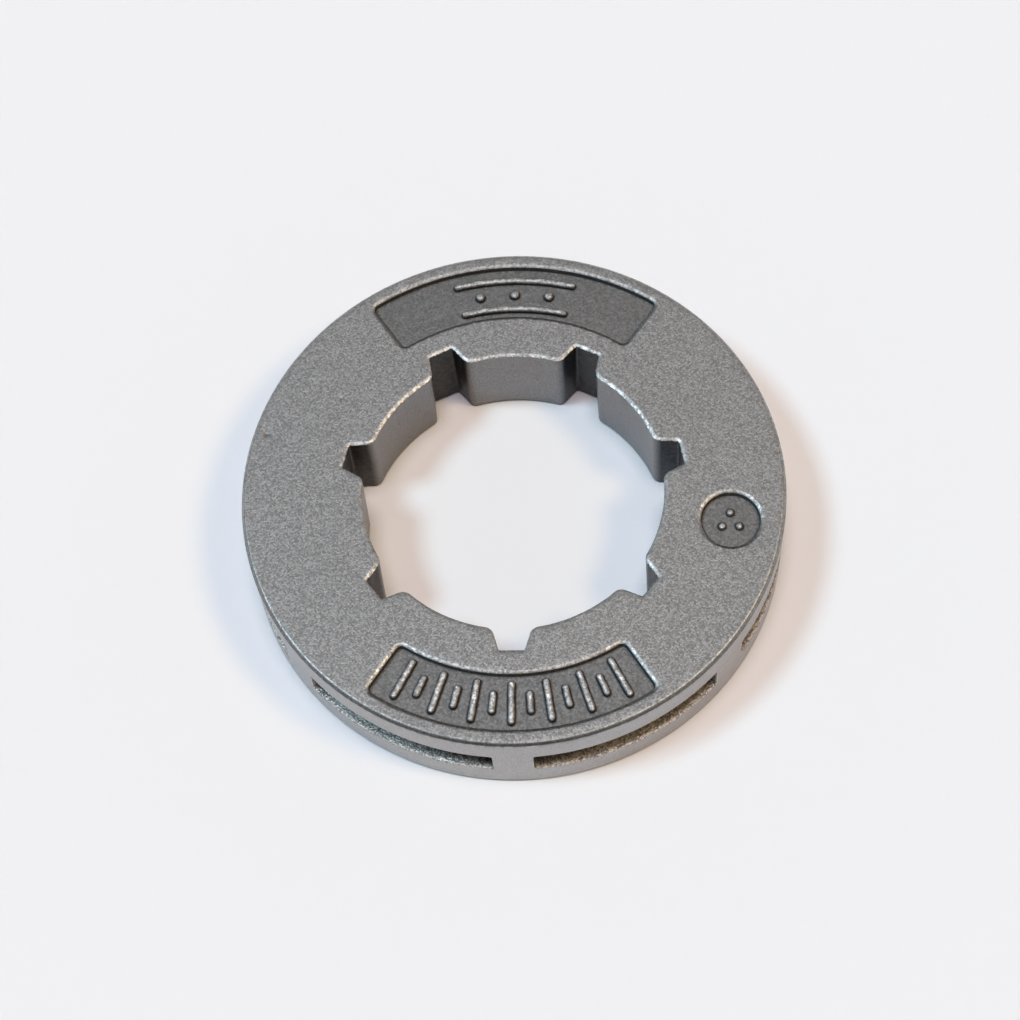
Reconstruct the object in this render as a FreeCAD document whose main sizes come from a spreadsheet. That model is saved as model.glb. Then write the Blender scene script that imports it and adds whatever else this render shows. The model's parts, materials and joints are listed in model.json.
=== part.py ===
"""Chainsaw rim sprocket: a cast steel ring that drives the saw chain from a splined clutch hub.

Two side rims carry the chain's straps. Between them, seven posts push the drive links, whose tangs
run in the cavities between the posts. The bore has seven notches for the hub's splines. The ring
lies on its back face, with the origin in that face's centre, +Z along the bore and -Y to the front.
"""

import FreeCAD, Part
import math
import os

import Sketcher
from FreeCAD import Placement, Rotation, Vector

NODE = "rim_sprocket"

# Driving dimensions, in millimetres and degrees
SIZES = {
    # Ring
    "outer_diameter": 34.0,
    "thickness": 6.35,
    "rim_chamfer": 0.3,
    # Splined bore: diameter over the lands, and the notches between them
    "bore_diameter": 19.0,
    "notch_count": 7,
    "notch_depth": 1.4,
    "notch_root_width": 1.68,
    "notch_flank_angle": 16.0,
    "notch_mouth_radius": 0.6,
    "notch_root_radius": 0.2,
    "bore_chamfer": 0.25,
    # Drive-link cavities, and the posts and hub wall that they leave
    "post_count": 7,
    "post_width": 2.5,
    "slot_width": 2.05,
    "hub_wall": 2.8,
    "cavity_corner_radius": 1.6,
    # Recessed panels and round spot in the top face
    "panel_depth": 0.5,
    "panel_rim_margin": 0.88,
    "panel_notch_margin": 1.3,
    "panel_corner_radius": 0.5,
    "panel_chamfer": 0.2,
    "front_panel_half_angle": 33.0,
    "back_panel_half_angle": 35.0,
    "spot_diameter": 3.7,
    "spot_rim_margin": 1.47,
    "spot_angle": 80.4,
    # How far a cut runs past the face that it opens
    "cut_overshoot": 1.0,
}

# Turn of the back panel from the front, and how near an edge counts as being at a place
BACK_PANEL_TURN = 180.0
NEAR = 0.02

# Sketch references: the two axes, the points of an edge, and the origin, where the first axis starts
X_AXIS, Y_AXIS = range(-1, -3, -1)
START, END, CENTRE = range(1, 4)
ORIGIN = (X_AXIS, START)

UP = Vector(0, 0, 1)
FRONT_DEG = -90.0


def make_sheet(doc):
    """The spreadsheet of driving dimensions, one alias each."""
    sheet = doc.addObject("Spreadsheet::Sheet", "Sizes")
    for row, (alias, value) in enumerate(SIZES.items(), 1):
        sheet.set(f"A{row}", alias)
        sheet.set(f"B{row}", str(value))
        sheet.setAlias(f"B{row}", alias)
    doc.recompute()
    return sheet


def origin_feature(body, role):
    return next(f for f in body.Origin.OriginFeatures if f.Role == role)


def polar(radius, degrees):
    angle = math.radians(degrees)
    return Vector(radius * math.cos(angle), radius * math.sin(angle), 0)


def arc_through(centre, start, end):
    """Anticlockwise arc from start to end."""
    first = math.atan2(start.y - centre.y, start.x - centre.x)
    last = math.atan2(end.y - centre.y, end.x - centre.x)
    circle = Part.Circle(centre, UP, (start - centre).Length)
    return Part.ArcOfCircle(circle, first, last)


def new_sketch(body, name, height="0", turn="0"):
    """A sketch parallel to the back face; height and turn about Z are expressions of the sheet."""
    sketch = body.newObject("Sketcher::SketchObject", name)
    sketch.AttachmentSupport = [(origin_feature(body, "XY_Plane"), "")]
    sketch.MapMode = "FlatFace"
    # Any turn but zero keeps the offset's axis upright until the expression sets the angle
    sketch.AttachmentOffset = Placement(Vector(), Rotation(UP, BACK_PANEL_TURN))
    sketch.setExpression("AttachmentOffset.Base.z", height)
    sketch.setExpression("AttachmentOffset.Rotation.Angle", f"({turn}) * 1 deg")
    return sketch


def constrain(sketch, kind, *args):
    return sketch.addConstraint(Sketcher.Constraint(kind, *args))


def dimension(sketch, kind, args, value, expression):
    """A driving constraint that starts at value and follows the sheet by expression."""
    index = constrain(sketch, kind, *args, value)
    sketch.setExpression(f"Constraints[{index}]", expression)


def join_tangent(sketch, first, first_end, second, second_end):
    constrain(sketch, "Tangent", first, first_end, second, second_end)


def cut(body, name, sketch, length=None, side="One side"):
    """A pocket of the sketch, right through if no length is given, that has to take metal away."""
    before = body.Shape.Volume
    pocket = body.newObject("PartDesign::Pocket", name)
    pocket.Profile = sketch
    pocket.SideType = side
    if length:
        pocket.setExpression("Length", length)
    else:
        pocket.Type = "ThroughAll"
    body.Document.recompute()
    if not body.Shape.Volume < before:
        raise RuntimeError(f"{name} cuts nothing")
    return pocket


def repeat_around(body, name, feature, count):
    """Equal copies of a feature about the bore's axis."""
    pattern = body.newObject("PartDesign::PolarPattern", name)
    pattern.Originals = [feature]
    pattern.Axis = (origin_feature(body, "Z_Axis"), [""])
    pattern.Angle = 360
    pattern.setExpression("Occurrences", count)
    body.Tip = pattern
    body.Document.recompute()


def dress_edges(body, kind, name, wanted, **sizes):
    """A Fillet or Chamfer on every edge of the body that wanted() picks by its place."""
    base = body.Tip
    picked = [f"Edge{i}" for i, edge in enumerate(base.Shape.Edges, 1) if wanted(edge)]
    dressing = body.newObject(f"PartDesign::{kind}", name)
    dressing.Base = (base, picked)
    for key, value in sizes.items():
        dressing.setExpression(key, value)
    body.Document.recompute()


def round_edges(body, name, radius, wanted):
    dress_edges(body, "Fillet", name, wanted, Radius=radius)


def chamfer_edges(body, name, size, wanted):
    dress_edges(body, "Chamfer", name, wanted, Size=size)


def sample(edge):
    """Points spread along an edge, with its ends."""
    return edge.discretize(5)


def radii(edge):
    return [math.hypot(p.x, p.y) for p in sample(edge)]


def at_height(edge, height):
    return all(abs(p.z - height) < NEAR for p in sample(edge))


def upright(edge):
    points = sample(edge)
    run = points[-1] - points[0]
    return math.hypot(run.x, run.y) < NEAR and abs(run.z) > NEAR


def at_radius(edge, radius):
    return all(abs(r - radius) < NEAR for r in radii(edge))


def inside_radius(edge, radius):
    return all(r < radius + NEAR for r in radii(edge))


def root_corner_radius(sheet):
    """How far a notch reaches from the bore's axis."""
    return math.hypot(sheet.bore_diameter / 2 + sheet.notch_depth, sheet.notch_root_width / 2)


def ring_sketch(body, sheet):
    """Rim and bore circles of the blank."""
    sketch = new_sketch(body, "RingSketch")
    for name in ("outer_diameter", "bore_diameter"):
        size = getattr(sheet, name)
        circle = sketch.addGeometry(Part.Circle(Vector(), UP, size / 2))
        constrain(sketch, "Coincident", circle, CENTRE, *ORIGIN)
        dimension(sketch, "Diameter", (circle,), size, f"Sizes.{name}")
    return sketch


def notch_sketch(body, sheet):
    """One spline notch at the front: a trapezium, narrow at its root, that runs into the bore."""
    sketch = new_sketch(body, "NotchSketch", height="Sizes.thickness")
    bore = sheet.bore_diameter / 2
    depth = sheet.notch_depth
    root_half = sheet.notch_root_width / 2
    slope = math.tan(math.radians(sheet.notch_flank_angle))
    mouth_half = root_half + 2 * depth * slope
    corners = [
        Vector(-root_half, -bore - depth, 0),
        Vector(root_half, -bore - depth, 0),
        Vector(mouth_half, -bore + depth, 0),
        Vector(-mouth_half, -bore + depth, 0),
    ]
    for first, second in zip(corners, corners[1:] + corners[:1]):
        sketch.addGeometry(Part.LineSegment(first, second))
    root, right, mouth, left = range(4)
    for first, second in ((root, right), (right, mouth), (mouth, left), (left, root)):
        constrain(sketch, "Coincident", first, END, second, START)
    constrain(sketch, "Symmetric", root, START, root, END, Y_AXIS)
    constrain(sketch, "Symmetric", mouth, START, mouth, END, Y_AXIS)
    dimension(sketch, "Distance", (root,), 2 * root_half, "Sizes.notch_root_width")
    dimension(sketch, "DistanceY", (root, END, *ORIGIN), bore + depth,
              "Sizes.bore_diameter / 2 + Sizes.notch_depth")
    dimension(sketch, "DistanceY", (mouth, START, *ORIGIN), bore - depth,
              "Sizes.bore_diameter / 2 - Sizes.notch_depth")
    dimension(sketch, "Angle", (right,), math.radians(90 - sheet.notch_flank_angle),
              "(90 - Sizes.notch_flank_angle) * 1 deg")
    return sketch


def cavity_sketch(body, sheet):
    """One drive-link cavity: flanks along the two posts, rounded into a floor round the hub wall."""
    sketch = new_sketch(body, "CavitySketch", height="Sizes.thickness / 2",
                        turn="180 / Sizes.post_count")
    half_pitch = 180 / sheet.post_count
    floor_radius = sheet.bore_diameter / 2 + sheet.hub_wall
    corner_radius = sheet.cavity_corner_radius
    outer_radius = sheet.outer_diameter / 2 + sheet.cut_overshoot
    post_half = sheet.post_width / 2
    post_line = polar(1, FRONT_DEG + half_pitch)
    inward = polar(1, FRONT_DEG + half_pitch - 90)

    def beside_post(radius, offset):
        """Point of the given radius, offset from the right post's middle line."""
        return post_line * math.sqrt(radius**2 - offset**2) + inward * offset

    corner = beside_post(floor_radius + corner_radius, post_half + corner_radius)
    floor_end = corner * (floor_radius / (floor_radius + corner_radius))
    flank_start = corner - inward * corner_radius
    flank_end = beside_post(outer_radius, post_half)

    def mirrored(point):
        return Vector(-point.x, point.y, 0)

    floor, right_corner, right_flank, rim, left_flank, left_corner, middle = range(7)
    sketch.addGeometry(arc_through(Vector(), mirrored(floor_end), floor_end))
    sketch.addGeometry(arc_through(corner, flank_start, floor_end))
    sketch.addGeometry(Part.LineSegment(flank_start, flank_end))
    sketch.addGeometry(arc_through(Vector(), mirrored(flank_end), flank_end))
    sketch.addGeometry(Part.LineSegment(mirrored(flank_end), mirrored(flank_start)))
    sketch.addGeometry(arc_through(mirrored(corner), mirrored(floor_end), mirrored(flank_start)))
    sketch.addGeometry(Part.LineSegment(Vector(), post_line * outer_radius), True)
    constrain(sketch, "Coincident", floor, CENTRE, *ORIGIN)
    constrain(sketch, "Coincident", rim, CENTRE, *ORIGIN)
    constrain(sketch, "Coincident", middle, START, *ORIGIN)
    join_tangent(sketch, floor, END, right_corner, END)
    join_tangent(sketch, right_corner, START, right_flank, START)
    constrain(sketch, "Coincident", right_flank, END, rim, END)
    constrain(sketch, "Coincident", left_flank, START, rim, START)
    join_tangent(sketch, left_flank, END, left_corner, END)
    join_tangent(sketch, left_corner, START, floor, START)
    constrain(sketch, "Symmetric", rim, START, rim, END, Y_AXIS)
    constrain(sketch, "Symmetric", floor, START, floor, END, Y_AXIS)
    constrain(sketch, "Equal", right_corner, left_corner)
    constrain(sketch, "Parallel", right_flank, middle)
    dimension(sketch, "Radius", (floor,), floor_radius, "Sizes.bore_diameter / 2 + Sizes.hub_wall")
    dimension(sketch, "Radius", (rim,), outer_radius, "Sizes.outer_diameter / 2 + Sizes.cut_overshoot")
    dimension(sketch, "Radius", (right_corner,), corner_radius, "Sizes.cavity_corner_radius")
    dimension(sketch, "Distance", (middle,), outer_radius, "Sizes.outer_diameter / 2 + Sizes.cut_overshoot")
    dimension(sketch, "Distance", (right_flank, START, middle), post_half, "Sizes.post_width / 2")
    dimension(sketch, "Angle", (middle,), math.radians(FRONT_DEG + half_pitch),
              f"({FRONT_DEG} + 180 / Sizes.post_count) * 1 deg")
    return sketch


def panel_sketch(body, sheet, name, half_angle_name, turn="0"):
    """A recessed panel: a piece of a flat ring with radial ends and rounded corners."""
    sketch = new_sketch(body, name, height="Sizes.thickness", turn=turn)
    inner = sheet.bore_diameter / 2 + sheet.notch_depth + sheet.panel_notch_margin
    outer = sheet.outer_diameter / 2 - sheet.panel_rim_margin
    corner_radius = sheet.panel_corner_radius
    half_angle = getattr(sheet, half_angle_name)
    inner_turn = half_angle - math.degrees(math.asin(corner_radius / (inner + corner_radius)))
    outer_turn = half_angle - math.degrees(math.asin(corner_radius / (outer - corner_radius)))
    inner_reach = math.sqrt((inner + corner_radius) ** 2 - corner_radius**2)
    outer_reach = math.sqrt((outer - corner_radius) ** 2 - corner_radius**2)

    def place(radius, degrees):
        return polar(radius, FRONT_DEG + degrees)

    inner_arc, outer_arc, right_end, left_end = range(4)
    sketch.addGeometry(arc_through(Vector(), place(inner, -inner_turn), place(inner, inner_turn)))
    sketch.addGeometry(arc_through(Vector(), place(outer, -outer_turn), place(outer, outer_turn)))
    for side in (1, -1):
        ends = [place(reach, side * half_angle) for reach in (inner_reach, outer_reach)]
        sketch.addGeometry(Part.LineSegment(*ends))
    inner_right, outer_right, inner_left, outer_left = range(4, 8)
    sketch.addGeometry(arc_through(place(inner + corner_radius, inner_turn),
                                   place(inner_reach, half_angle), place(inner, inner_turn)))
    sketch.addGeometry(arc_through(place(outer - corner_radius, outer_turn),
                                   place(outer, outer_turn), place(outer_reach, half_angle)))
    sketch.addGeometry(arc_through(place(inner + corner_radius, -inner_turn),
                                   place(inner, -inner_turn), place(inner_reach, -half_angle)))
    sketch.addGeometry(arc_through(place(outer - corner_radius, -outer_turn),
                                   place(outer_reach, -half_angle), place(outer, -outer_turn)))
    constrain(sketch, "Coincident", inner_arc, CENTRE, *ORIGIN)
    constrain(sketch, "Coincident", outer_arc, CENTRE, *ORIGIN)
    join_tangent(sketch, inner_arc, END, inner_right, END)
    join_tangent(sketch, inner_right, START, right_end, START)
    join_tangent(sketch, right_end, END, outer_right, END)
    join_tangent(sketch, outer_right, START, outer_arc, END)
    join_tangent(sketch, outer_arc, START, outer_left, END)
    join_tangent(sketch, outer_left, START, left_end, END)
    join_tangent(sketch, left_end, START, inner_left, END)
    join_tangent(sketch, inner_left, START, inner_arc, START)
    for corner in (outer_right, inner_left, outer_left):
        constrain(sketch, "Equal", inner_right, corner)
    for line, sign in ((right_end, "+"), (left_end, "-")):
        constrain(sketch, "PointOnObject", *ORIGIN, line)
        signed = half_angle if sign == "+" else -half_angle
        dimension(sketch, "Angle", (line,), math.radians(FRONT_DEG + signed),
                  f"({FRONT_DEG} {sign} Sizes.{half_angle_name}) * 1 deg")
    dimension(sketch, "Radius", (inner_arc,), inner,
              "Sizes.bore_diameter / 2 + Sizes.notch_depth + Sizes.panel_notch_margin")
    dimension(sketch, "Radius", (outer_arc,), outer,
              "Sizes.outer_diameter / 2 - Sizes.panel_rim_margin")
    dimension(sketch, "Radius", (inner_right,), corner_radius, "Sizes.panel_corner_radius")
    return sketch


def spot_sketch(body, sheet):
    """The round recess, on the face's own radius to the right."""
    sketch = new_sketch(body, "SpotSketch", height="Sizes.thickness", turn="Sizes.spot_angle")
    radius = sheet.spot_diameter / 2
    reach = sheet.outer_diameter / 2 - sheet.spot_rim_margin - radius
    circle = sketch.addGeometry(Part.Circle(Vector(0, -reach, 0), UP, radius))
    constrain(sketch, "PointOnObject", circle, CENTRE, Y_AXIS)
    dimension(sketch, "DistanceY", (circle, CENTRE, *ORIGIN), reach,
              "Sizes.outer_diameter / 2 - Sizes.spot_rim_margin - Sizes.spot_diameter / 2")
    dimension(sketch, "Diameter", (circle,), sheet.spot_diameter, "Sizes.spot_diameter")
    return sketch


def make_blank(body, sheet):
    pad = body.newObject("PartDesign::Pad", "Blank")
    pad.Profile = ring_sketch(body, sheet)
    pad.setExpression("Length", "Sizes.thickness")
    body.Document.recompute()


def make_splined_bore(body, sheet):
    """Notches through the ring, with rounded mouths and roots, then a chamfer at both bore ends."""
    bore = sheet.bore_diameter / 2
    root = bore + sheet.notch_depth
    notch = cut(body, "Notch", notch_sketch(body, sheet))
    repeat_around(body, "Notches", notch, "Sizes.notch_count")
    round_edges(body, "NotchMouths", "Sizes.notch_mouth_radius",
                lambda edge: upright(edge) and at_radius(edge, bore))
    round_edges(body, "NotchRoots", "Sizes.notch_root_radius",
                lambda edge: upright(edge) and min(radii(edge)) > root - NEAR)
    chamfer_edges(body, "BoreEdges", "Sizes.bore_chamfer",
                  lambda edge: inside_radius(edge, root_corner_radius(sheet))
                  and (at_height(edge, 0) or at_height(edge, sheet.thickness)))


def make_cavities(body, sheet):
    """Cavities between the posts, each open on the rim as a slot in the middle of the thickness."""
    cavity = cut(body, "Cavity", cavity_sketch(body, sheet), "Sizes.slot_width", "Symmetric")
    repeat_around(body, "Cavities", cavity, "Sizes.post_count")


def make_recesses(body, sheet):
    """The two panels and the round spot, with a chamfer round each."""
    recesses = {
        "FrontPanel": panel_sketch(body, sheet, "FrontPanelSketch", "front_panel_half_angle"),
        "BackPanel": panel_sketch(body, sheet, "BackPanelSketch", "back_panel_half_angle",
                                  BACK_PANEL_TURN),
        "Spot": spot_sketch(body, sheet),
    }
    for name, sketch in recesses.items():
        cut(body, name, sketch, "Sizes.panel_depth")
    bore_reach = root_corner_radius(sheet) + sheet.bore_chamfer
    rim = sheet.outer_diameter / 2

    def recess_rim(edge):
        past_bore = not inside_radius(edge, bore_reach)
        return at_height(edge, sheet.thickness) and past_bore and not at_radius(edge, rim)

    chamfer_edges(body, "RecessRims", "Sizes.panel_chamfer", recess_rim)


def chamfer_rims(body, sheet):
    rim = sheet.outer_diameter / 2
    chamfer_edges(body, "RimEdges", "Sizes.rim_chamfer",
                  lambda edge: at_radius(edge, rim)
                  and (at_height(edge, 0) or at_height(edge, sheet.thickness)))


def check_document(doc, body):
    """Stops before anything is written if a feature failed or the solid isn't sound."""
    for item in doc.Objects:
        if {"Invalid", "Error"} & set(item.State):
            raise RuntimeError(f"{item.Label} failed: {item.State}")
    shape = body.Shape
    if shape.isNull() or not shape.isValid() or len(shape.Solids) != 1:
        raise RuntimeError(f"{body.Label} isn't one valid solid")


def main():
    doc = FreeCAD.newDocument("RimSprocket")
    sheet = make_sheet(doc)
    body = doc.addObject("PartDesign::Body", "RimSprocket")
    body.Label = NODE
    make_blank(body, sheet)
    make_splined_bore(body, sheet)
    make_cavities(body, sheet)
    make_recesses(body, sheet)
    chamfer_rims(body, sheet)
    doc.recompute()
    check_document(doc, body)
    os.makedirs("parts", exist_ok=True)
    body.Shape.exportStep(f"parts/{body.Label}.step")
    print(f"{body.Label}: {body.Shape.Volume:.1f} mm3, {len(body.Shape.Faces)} faces")


main()
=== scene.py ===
"""Looks of the chainsaw rim sprocket: one cast steel ring with its finishes, a pale table and soft light.

Shapes are worked out in millimetres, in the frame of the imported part: the origin in the centre of the
back face, +Z along the bore and -Y to the front panel. An outline is a pair of complex arrays, x + iy:
its points and their normals.
"""

import cmath
import json
import math

import bmesh
import bpy
import numpy as np
from mathutils import Matrix, Vector, kdtree, noise
from mathutils.geometry import delaunay_2d_cdt


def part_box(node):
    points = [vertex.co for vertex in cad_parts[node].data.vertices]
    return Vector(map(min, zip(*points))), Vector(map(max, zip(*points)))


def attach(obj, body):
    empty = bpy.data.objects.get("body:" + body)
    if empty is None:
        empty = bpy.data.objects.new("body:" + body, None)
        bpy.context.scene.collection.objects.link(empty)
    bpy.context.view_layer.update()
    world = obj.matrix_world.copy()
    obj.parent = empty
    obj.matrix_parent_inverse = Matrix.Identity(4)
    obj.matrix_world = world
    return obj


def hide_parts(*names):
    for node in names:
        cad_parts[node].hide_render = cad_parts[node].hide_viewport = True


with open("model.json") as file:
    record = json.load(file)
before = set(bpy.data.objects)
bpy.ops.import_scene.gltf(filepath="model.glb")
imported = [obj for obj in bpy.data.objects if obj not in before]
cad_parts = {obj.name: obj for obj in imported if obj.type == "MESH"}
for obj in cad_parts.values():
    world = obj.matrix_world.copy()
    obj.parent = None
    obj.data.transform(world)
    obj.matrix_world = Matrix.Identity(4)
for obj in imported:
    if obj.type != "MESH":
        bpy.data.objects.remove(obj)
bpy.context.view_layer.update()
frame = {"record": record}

NODE = "rim_sprocket"
MM = 0.001
QUARTER = math.pi / 2
FULL_TURN = 2 * math.pi

# Ring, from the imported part
DECIMALS = 2
LOW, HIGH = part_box(NODE)
RIM = round((HIGH.x - LOW.x) / 2 / MM, DECIMALS)
TOP = round(HIGH.z / MM, DECIMALS)
MOUNTS = {mount["name"]: mount for mount in frame["record"]["mounts"]}
BORE = MOUNTS["spline_bore"]["dims"]["r_mm"]
FRONT = -QUARTER
BACK = QUARTER
SPLINES = 7
PITCH = FULL_TURN / SPLINES

# Splined bore: its wall is drafted, wider at the foot, and its notches are dark inside with oxide and
# painted shade
NOTCH_DEPTH = 1.4
NOTCH_ROOT_WIDTH = 1.68
NOTCH_FLANK = math.radians(16)
NOTCH_SHADE = 0.4
MOUTH_RADIUS = 0.6
ROOT_RADIUS = 0.2
BORE_EDGE = 0.27
BORE_DROP = 0.09
BORE_FOOT = 0.25
BORE_DRAFT = 0.06
LIP_CORNER = 0.03
LIP_POWER = 2

# Rim: a straight bevel rises from the turned side to a shoulder, which runs out into the face
BEVEL_WIDTH = 0.18
BEVEL_DROP = 0.15
BEVEL_POWER = 1
# Painted shade darkens the bevel in front; wear with a painted highlight brightens it elsewhere
BEVEL_SHADE = 0.72
BEVEL_SHADE_POWER = 2
BEVEL_WEAR_AND_SHEEN = 0.42
BEVEL_SHEEN_POWER = 2
SHOULDER_WIDTH = 0.11
SHOULDER_DROP = 0.028
SHOULDER_POWER = 1.3
RIM_FOOT = 0.3

# Drive-link cavities: close rings near the rim, and painted shade that darkens them with depth and beside
# the posts
POST_HALF = 1.25
SLOT_HALF = 1.025
SLOT_CORNER = 0.2
SLOT_EDGE = 0.07
CAVITY_FLOOR = 12.3
CAVITY_CORNER = 1.6
CORNER_POWER = 2
GRAINY_DEPTH = 1.3
GRAINY_STEP = 0.15
DIM_FROM = 0.3
DIM_REACH = 1.3
DIM_SHARE = 0.8
POST_SHADE = 0.8
POST_SHADE_REACH = 1.2
POST_SHADE_DEPTH = 0.5

# Recesses in the top face: two panels and a round spot, with painted shade along their front edges; the
# back panel's lip and marks are less worn and get less painted highlight
RECESS_DEPTH = 0.5
RECESS_BORDER = 0.08
RECESS_FOOT = 0.12
RECESS_EDGE = 0.26
RECESS_DROP = 0.09
RECESS_SHADE = 0.8
PANEL_INNER = 12.37
PANEL_CORNER = 0.4
FRONT_PANEL_OUTER = 15.97
FRONT_PANEL_HALF = math.radians(33.4)
BACK_PANEL_OUTER = 16.08
BACK_PANEL_HALF = math.radians(35)
BACK_PANEL_WORN_AND_LIT = 0.5
SPOT_RADIUS = 1.85
SPOT_PLACE = cmath.rect(13.68, math.radians(-9.6))

# Raised marks in the recesses: plain ribs, two arcs and pips, worn bright with a painted highlight on
# their crowns
MARK_HEIGHT = 0.36
SPOT_MARK_HEIGHT = 0.24
MARK_BORDER = 0.06
MARK_FOOT = 0.07
MARK_CROWN = 0.17
MARK_WEAR_AND_SHEEN = 0.6
MARK_RADIUS = 14.15
RIB_HALF_WIDTH = 0.21
RIB_COUNT = 13
RIB_PITCH = math.radians(4.6)
LONG_RIB = 1.2
SHORT_RIB = 0.55
ARC_OFFSET = 1.05
ARC_HALF = math.radians(15)
ARC_PIPS = np.radians([-9, 0, 9])
PIP_RADIUS = 0.3
SPOT_PIPS = 3
SPOT_PIP_RADIUS = 0.24
SPOT_PIP_REACH = 0.62

# Dents in the top face, with rings of points at these shares of a dent's radius
DENTS = (
    {"place": cmath.rect(16.14, math.radians(165.1)), "radius": 0.24, "depth": 0.1},
    {"place": cmath.rect(12.82, math.radians(149.1)), "radius": 0.14, "depth": 0.05},
)
DENT_RINGS = np.linspace(0.25, 1.75, 7)
DENT_STEP = 0.08

# How far apart points lie along an outline and over a patch, and the fewest on an arc
STEP = 0.08
FINE_STEP = 0.07
SLOT_STEP = 0.14
FACE_STEP = 0.25
FLOOR_STEP = 0.17
SIDE_STEP = 0.3
BACK_STEP = 0.7
FEWEST_ON_ARC = 2

# Shares of a patch's step: between its rows, for chance to move a point by, and clear of its edge
ROW_SHARE = math.sqrt(3) / 2
JITTER = 0.2
CLEARANCE = 0.7

# Seed of those chances, how many points are tested at a time, and the kind of triangulation
SEED = 7
CHUNK = 2000
CONVEX_HULL = 0

# Points round one pitch of the rim and up a post, and rows across edges and walls
RIM_POINTS = 60
POST_POINTS = 20
EDGE_ROWS = 6
BEVEL_ROWS = 5
FOOT_ROWS = 4
WALL_ROWS = 4
CAVITY_ROWS = 4
CORNER_ROWS = 6

# Points this close are one, in the mesh and within a patch, and edges this sharp stay sharp
WELD = 1e-4
MERGE = WELD / 10
SHARP_ANGLE = math.radians(38)

# Unevenness of the skin: how far a point may move, how long its waves are, and the short ones' share
EDGE_ROUGH = 0.045
MARK_ROUGH = 0.04
SKIN_ROUGH = 0.01
CAVITY_ROUGH = 0.012
LONG_WAVE = 0.4
SHORT_WAVE = 0.16
SHORT_SHARE = 0.6

# Finishes of the ring, by material index, and those of the bands up a recess's or a mark's wall
FACE, FLOOR, SIDE, LAND, SLOT = range(5)
FOOT_FINISHES = np.repeat((FLOOR, FACE), (FOOT_ROWS + 1, EDGE_ROWS - 1))[:, None]

# Looks that each point of the ring carries: how bright it is worn and lit by a painted highlight, how dark
# it is with oxide and painted shade, how far it may move
LOOKS = ("wear", "soot", "rough")

# Wear and painted highlight by how far an edge faces the front: stops from 0 to 1, and the wear and
# highlight at each of them
LIP_WEAR_AND_SHEEN = ((0, 0.5, 0.8, 1), (0.35, 0.95, 0.85, 0.4))
SHOULDER_WEAR_AND_SHEEN = ((0, 0.4, 0.7, 1), (0.25, 0.6, 0.6, 0.05))

# Looks across an edge, as stops at equal shares of it, from the wall or floor up to the face
PLAIN = (0,)
BORE_LIP_WORN_AND_LIT = (1, 1, 0.8, 0.3, 0)
BORE_LIP_BROKEN = (0.2, 0.5, 0.5, 0)
BEVEL_WORN_AND_LIT = (1, 1, 0)
BEVEL_SHADED = (0.6, 1, 1, 0.8, 0)
SHOULDER_WORN_AND_LIT = (0, 1, 1, 0.5, 0)
SHOULDER_BROKEN = (0, 2, 2, 0)
SLOT_MOUTH_WORN_AND_LIT = (0, 0.25, 0)
RECESS_FOOT_OXIDE_AND_SHADE = (0.5, 0.4)
RECESS_LIP_CORNER_SHADE = (0.3, 0, 0)
RECESS_LIP_FRONT_SHADE = (1, 1, 1, 0.9, 0.4, 0)
RECESS_LIP_WORN_AND_LIT = (0.5, 1, 0.9, 0.25, 0)
RECESS_LIP_BROKEN = (0.2, 0.6, 0.6, 0)
MARK_FOOT_SHADED = (0.6, 0.8)
MARK_CROWN_SHADED = (0.7, 0, 0)


def arc(centre, radius, first, last, step=FINE_STEP, inward=False):
    """Outline along an arc, without its last point; normals away from the centre or towards it."""
    count = max(FEWEST_ON_ARC, round(abs(last - first) * radius / step))
    turns = np.exp(1j * np.linspace(first, last, count, endpoint=False))
    return centre + radius * turns, -turns if inward else turns


def line(start, end, normal, step=STEP):
    """Outline along a straight run, without its last point."""
    length = abs(end - start)
    count = max(1, round(length / step)) if length > WELD else 0
    share = np.arange(count) / max(count, 1)
    return start + (end - start) * share, np.full(count, normal, complex)


def joined(pieces):
    """One outline from pieces that follow on each other."""
    return tuple(np.concatenate(part) for part in zip(*pieces))


def turned(outline, angle):
    """An outline turned about the bore's axis."""
    return tuple(part * cmath.rect(1, angle) for part in outline)


def moved(outline, shift):
    """An outline moved without a turn."""
    return outline[0] + shift, outline[1]


def loop_at(outline, offset):
    """An outline's points, moved along its normals."""
    return outline[0] + outline[1] * offset


def circle(radius):
    return arc(0, radius, 0, FULL_TURN)


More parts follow.
